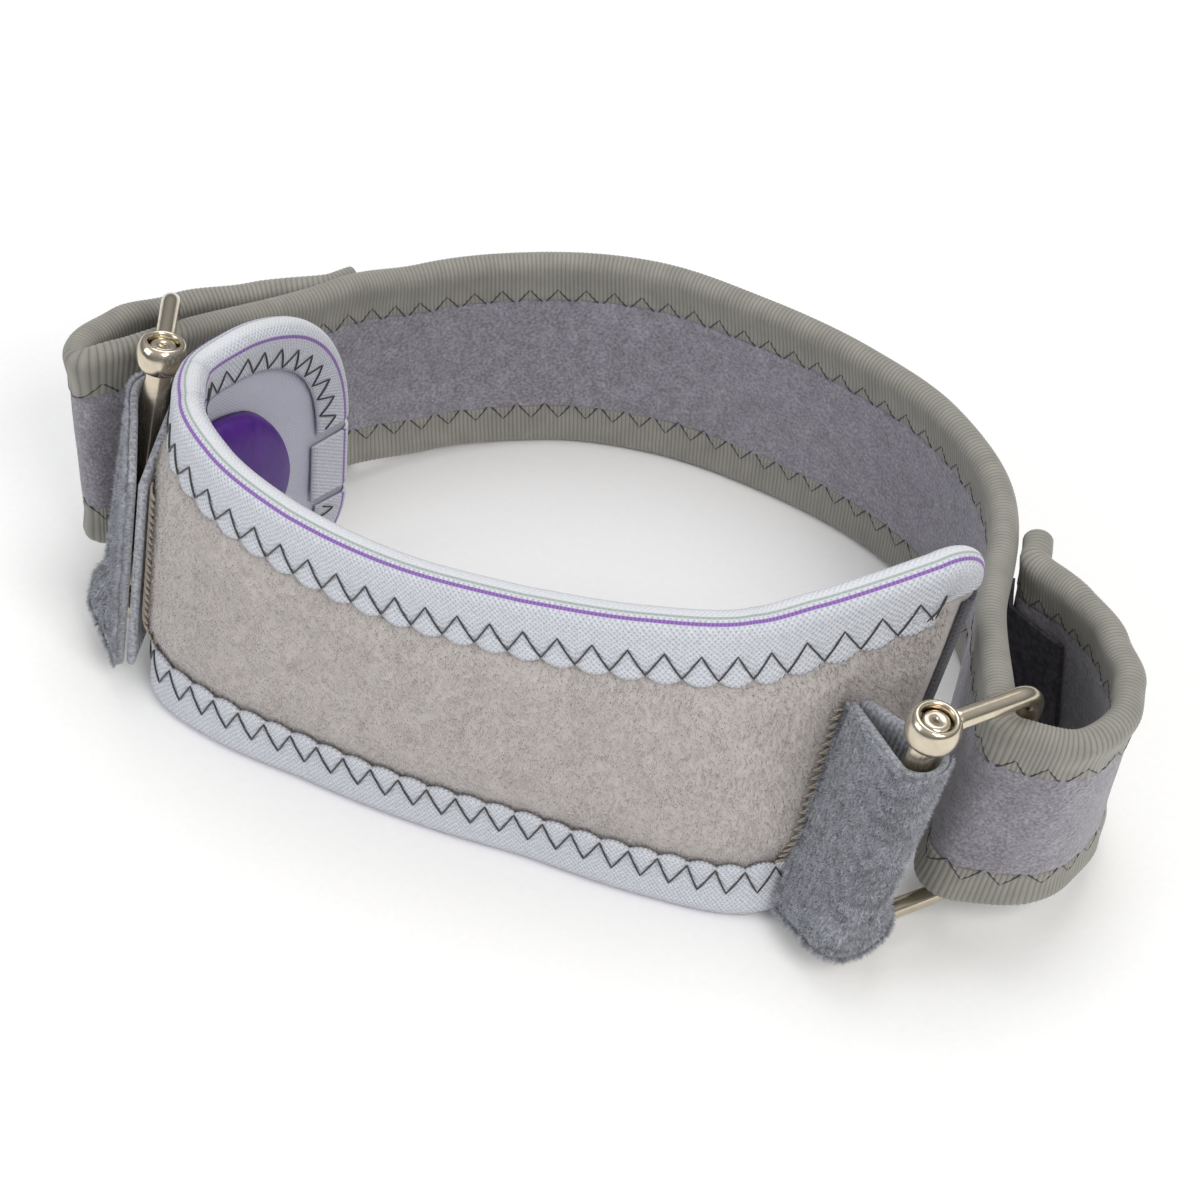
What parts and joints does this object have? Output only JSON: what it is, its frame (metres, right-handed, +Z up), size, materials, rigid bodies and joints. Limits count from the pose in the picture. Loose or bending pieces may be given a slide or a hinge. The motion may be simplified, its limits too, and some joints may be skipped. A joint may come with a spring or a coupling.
{
  "type": "patella strap",
  "caption": "Patella strap: a padded, contoured front piece with a purple gel cushion, wire rings on plush tabs, and a soft grey strap threaded through them.",
  "frame": {"origin": "middle of the footprint, on the surface that the strap stands on", "axes": "+X towards the wearer-facing right ring, -Y towards the padded front, +Z up along the leg"},
  "size_m": [0.1844, 0.108, 0.0633],
  "materials": {
    "strap": "velour on neoprene",
    "strap_binding": "ribbed stretch tape",
    "hook": "hook fastener",
    "plush": "short plush",
    "lining": "smooth knit",
    "pad_binding": "knitted elastic tape",
    "cushion": "soft matt gel",
    "tab": "loop plush webbing",
    "wire": "warm nickel plate"
  },
  "bodies": {
    "root": {"strap": "strap", "strap_top_binding": "strap_binding", "strap_bottom_binding": "strap_binding", "hook_patch_right": "hook", "hook_patch_left": "hook", "pad_cover": "plush", "pad_lining": "lining", "gel_cushion": "cushion", "pad_top_binding": "pad_binding", "pad_bottom_binding": "pad_binding", "pad_end_binding_right": "pad_binding", "pad_end_binding_left": "pad_binding", "ring_right": "wire", "ring_left": "wire", "pin_right": "wire", "pin_left": "wire", "tab_right": "tab", "tab_left": "tab"}
  },
  "joints": []
}
